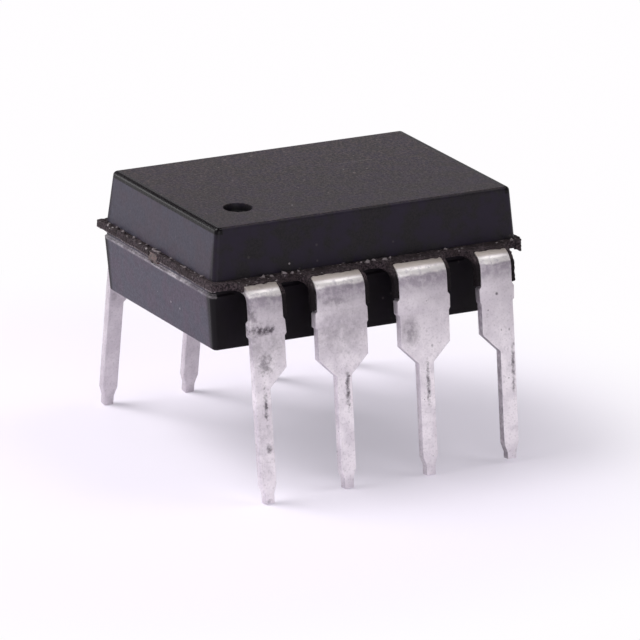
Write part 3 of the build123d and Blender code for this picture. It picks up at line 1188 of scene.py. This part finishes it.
def crown_highlight_and_burnish(tree, z, wavy, coarse):
    """A painted highlight, partly burnish: the broken bright line where the outside of the bend was rubbed.
    """
    band = times(tree, ramp(tree, wavy, lead_top - 0.30, lead_top - 0.22),
                 ramp(tree, z, lead_top - 0.08, lead_top - 0.15))
    return times(tree, band, ramp(tree, coarse, 0.34, 0.52, 0.30, 1.0))


def cut_side_shade(tree, x, coarse):
    """Painted shade on the stamped sides of the leads, heavier towards pins 4 and 5."""
    cut = node(tree, "Attribute", attribute_name="cut_edge")
    uneven = times(tree, cut.outputs["Fac"], ramp(tree, coarse, 0.30, 0.62, 0.45, 0.95))
    return times(tree, uneven, ramp(tree, x, 0.6, 3.2, 0.12, 0.70))


def tin_mark_and_shade_mask(tree, groups, place, coarse):
    """Every mark and painted shade in the table together, broken up by the grain."""
    marks_and_shade = None
    for pin, along, height, half_x, half_z, rough_edge, strength in TIN_MARKS_AND_SHADE:
        turned = -1 if pin > pins_per_row else 1
        x = turned * (pin_x((pin - 1) % pins_per_row) + along)
        centre = (x, -turned * leg_middle_y, height)
        mask = oval_mark(tree, groups, place, centre, (half_x, leg_depth, half_z), rough_edge, strength)
        marks_and_shade = mask if marks_and_shade is None else maths(tree, "MAXIMUM", marks_and_shade, mask)
    return times(tree, marks_and_shade, ramp(tree, coarse, 0.34, 0.60, 0.30, 1.0))


def plain_metal(groups, name, dark, light, roughness, metallic, size):
    """Metal, silicon or filled resin sealed in the body, with its own grain."""
    material, tree, shader = new_material(name, Metallic=metallic)
    fine = grain(tree, groups, place_in_mm(tree), size, 4.0)
    link(tree, blend(tree, ramp(tree, fine, 0.3, 0.7), dark, light), shader.inputs["Base Color"])
    link(tree, ramp(tree, fine, 0.3, 0.7, roughness - 0.06, roughness + 0.08), shader.inputs["Roughness"])
    bump(tree, shader, fine, 0.3, size / 8)
    return material


def copper_material(groups):
    """The paddle's copper, torn and smeared with resin where its tie bars are cut off at the ends."""
    material, tree, shader = new_material("lead frame copper")
    place = place_in_mm(tree)
    x, _, _ = split_place(tree, place)
    fine = grain(tree, groups, place, 0.05, 4.0)
    copper = blend(tree, ramp(tree, fine, 0.3, 0.7), COPPER_DARK, COPPER_BRIGHT)
    torn = blend(tree, ramp(tree, fine, 0.40, 0.60), TORN_DARK, TORN_BROWN)
    cut_end = ramp(tree, away_from_middle(tree, x), half_length, half_length + 0.1)
    link(tree, blend(tree, cut_end, copper, torn), shader.inputs["Base Color"])
    link(tree, ramp(tree, fine, 0.3, 0.7, 0.36, 0.60), shader.inputs["Roughness"])
    bare = maths(tree, "SUBTRACT", 1.0, cut_end)
    link(tree, times(tree, bare, 0.9), shader.inputs["Metallic"])
    bump(tree, shader, fine, 0.5, 0.012)
    return material


def give_material(piece, material):
    """One material over the whole piece."""
    piece.data.materials.clear()
    piece.data.materials.append(material)


# ---------------------------------------------------------------- stage, light and camera

FLOOR_TINT = (0.855, 0.80, 0.895, 1)
FLOOR_GLOW_NEAR = (0.90, 0.85, 1.0)
FLOOR_GLOW_FAR = (1.0, 0.985, 1.0)
TENT_TINT = (1.0, 0.97, 1.0, 1)
floor_radius = 1200
floor_fade_shift = 4.0
floor_fade_start = 8.0
floor_fade_end = 17
lamp_aim_height = 4

# The camera turns round the part by the azimuth, from straight in front, and looks down by the elevation.
camera_azimuth = -28.99
camera_elevation = 17.77
camera_roll = 0.96
camera_distance = 208.8
camera_lens = 458.5
camera_aim = (-6.74, -12.81, 7.90)


def floor_material():
    """Pale floor that takes the part's shadow, and runs to plain white for the camera and for reflections."""
    material, tree, shader = new_material("pale floor", Roughness=0.9, Specular_IOR_Level=0.1)
    shader.inputs["Base Color"].default_value = FLOOR_TINT
    beside = node(tree, "VectorMath", operation="ADD")
    beside.inputs[1].default_value = (floor_fade_shift * MM, 0, 0)
    link(tree, node(tree, "TexCoord").outputs["Object"], beside.inputs[0])
    away = node(tree, "VectorMath", operation="LENGTH")
    link(tree, beside.outputs[0], away.inputs[0])
    far = ramp(tree, away.outputs["Value"], floor_fade_start * MM, floor_fade_end * MM, 0.36, 1.0)
    white = node(tree, "Emission", Strength=1.0)
    link(tree, blend(tree, far, FLOOR_GLOW_NEAR, FLOOR_GLOW_FAR), white.inputs["Color"])
    paths = node(tree, "LightPath")
    seen = maths(tree, "MAXIMUM", paths.outputs["Is Camera Ray"], paths.outputs["Is Glossy Ray"])
    mix = node(tree, "MixShader")
    link(tree, times(tree, far, seen), mix.inputs[0])
    link(tree, shader.outputs[0], mix.inputs[1])
    link(tree, white.outputs[0], mix.inputs[2])
    link(tree, mix.outputs[0], tree.nodes["Material Output"].inputs["Surface"])
    return material


def make_floor():
    """A plain pale floor under the part."""
    deselect()
    bpy.ops.mesh.primitive_circle_add(
        vertices=96, radius=floor_radius * MM, fill_type="NGON", location=(0, 0, 0))
    floor = name_piece("floor")
    give_material(floor, floor_material())


def soft_light(name, place, size, power):
    """A square soft light aimed at the part. Place and size are in millimetres."""
    lamp = bpy.data.lights.new(name, "AREA")
    lamp.size = size * MM
    lamp.energy = power
    holder = bpy.data.objects.new(name, lamp)
    bpy.context.scene.collection.objects.link(holder)
    holder.location = Vector(place) * MM
    aim = Vector((0, 0, lamp_aim_height)) - Vector(place)
    holder.rotation_euler = aim.to_track_quat("-Z", "Y").to_euler()
    holder.visible_camera = False


def light_scene():
    """A high key light from the left, small fills, and a tent that is bright at the sides and dim above."""
    soft_light("high left", (-70, 45, 115), size=90, power=0.22)
    soft_light("overhead", (38, -12, 85), size=34, power=0.016)
    soft_light("low back left", (-85, 120, 20), size=60, power=0.04)
    soft_light("front", (-30, -150, 60), size=120, power=0.09)
    world = bpy.data.worlds.new("pale tent")
    bpy.context.scene.world = world
    world.use_nodes = True
    tree = world.node_tree
    _, _, up = split_place(tree, node(tree, "TexCoord").outputs["Generated"])
    background = tree.nodes["Background"]
    background.inputs["Color"].default_value = TENT_TINT
    link(tree, ramp(tree, up, 0.24, 0.44, 0.66, 0.10), background.inputs["Strength"])


def add_camera():
    """The camera: level and a little above, from the front left, with a very long lens."""
    azimuth, elevation, roll = (math.radians(a) for a in (camera_azimuth, camera_elevation, camera_roll))
    level = math.cos(elevation)
    back = Vector((math.sin(azimuth) * level, -math.cos(azimuth) * level, math.sin(elevation)))
    right = Vector((math.cos(azimuth), math.sin(azimuth), 0))
    up = back.cross(right)
    turned_right = math.cos(roll) * right + math.sin(roll) * up
    turned_up = -math.sin(roll) * right + math.cos(roll) * up
    lens = bpy.data.cameras.new("camera")
    lens.sensor_width = 36
    lens.lens = camera_lens
    lens.clip_start = 0.01
    camera = bpy.data.objects.new("camera", lens)
    bpy.context.scene.collection.objects.link(camera)
    turn = Matrix((turned_right, turned_up, back)).transposed()
    place = Vector(camera_aim) * MM + back * (camera_distance * MM)
    camera.matrix_world = Matrix.Translation(place) @ turn.to_4x4()
    bpy.context.scene.camera = camera


# ---------------------------------------------------------------- the whole part

def mark_cut_edges(lead):
    """Marks the stamped sides of a lead with 1, and the rest of it with 0, for its material."""
    cut = lead.data.attributes.new("cut_edge", "FLOAT", "FACE")
    for face in lead.data.polygons:
        cut.data[face.index].value = 1.0 if abs(face.normal.x) > 0.5 else 0.0


def place_piece(piece, slot, *nodes):
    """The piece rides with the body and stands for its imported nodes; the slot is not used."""
    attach(piece, "root")
    if nodes:
        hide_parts(*nodes)


def build_leads(tin):
    """All eight leads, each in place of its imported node."""
    for pin in range(1, pins_per_row + 1):
        pair = make_lead_pair(pin)
        for piece, number in zip(pair, (pin, pin + pins_per_row)):
            flatten_shading(piece)
            mark_cut_edges(piece)
            give_material(piece, tin)
            place_piece(piece, "tin_plate", f"lead_{number}")


def build_moulding(groups):
    """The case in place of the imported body, and the flash on it."""
    case = make_case()
    flatten_shading(case)
    give_material(case, moulding_material(groups))
    place_piece(case, "moulding_compound", "moulded_body")
    flash = make_flash()
    smooth(flash, 60)
    give_material(flash, flash_material(groups))
    place_piece(flash, "moulding_compound")


def finish_inner_pieces(groups):
    """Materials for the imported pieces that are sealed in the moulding."""
    nodes = frame["nodes"]
    adhesive = plain_metal(groups, "silver adhesive", (0.42, 0.42, 0.40), (0.62, 0.62, 0.60),
                           roughness=0.60, metallic=0.3, size=0.05)
    silicon = plain_metal(groups, "polished silicon", (0.10, 0.10, 0.13), (0.16, 0.16, 0.20),
                          roughness=0.15, metallic=0.6, size=0.10)
    gold = plain_metal(groups, "gold wire", (0.80, 0.56, 0.20), (0.98, 0.76, 0.36),
                       roughness=0.25, metallic=1.0, size=0.01)
    give_material(nodes["die_pad"], copper_material(groups))
    give_material(nodes["die_attach"], adhesive)
    give_material(nodes["die"], silicon)
    for pin in range(1, pin_count + 1):
        give_material(nodes[f"bond_wire_{pin}"], gold)


def build():
    """Every piece, its material and its place in the frame."""
    noise.seed_set(ragged_seed)
    groups = {"grain": build_grain_group(), "specks": build_specks_group(), "mark": build_mark_group()}
    build_leads(tin_material(groups))
    build_moulding(groups)
    finish_inner_pieces(groups)


build()
make_floor()
light_scene()
add_camera()
bpy.context.scene.view_settings.view_transform = "Standard"
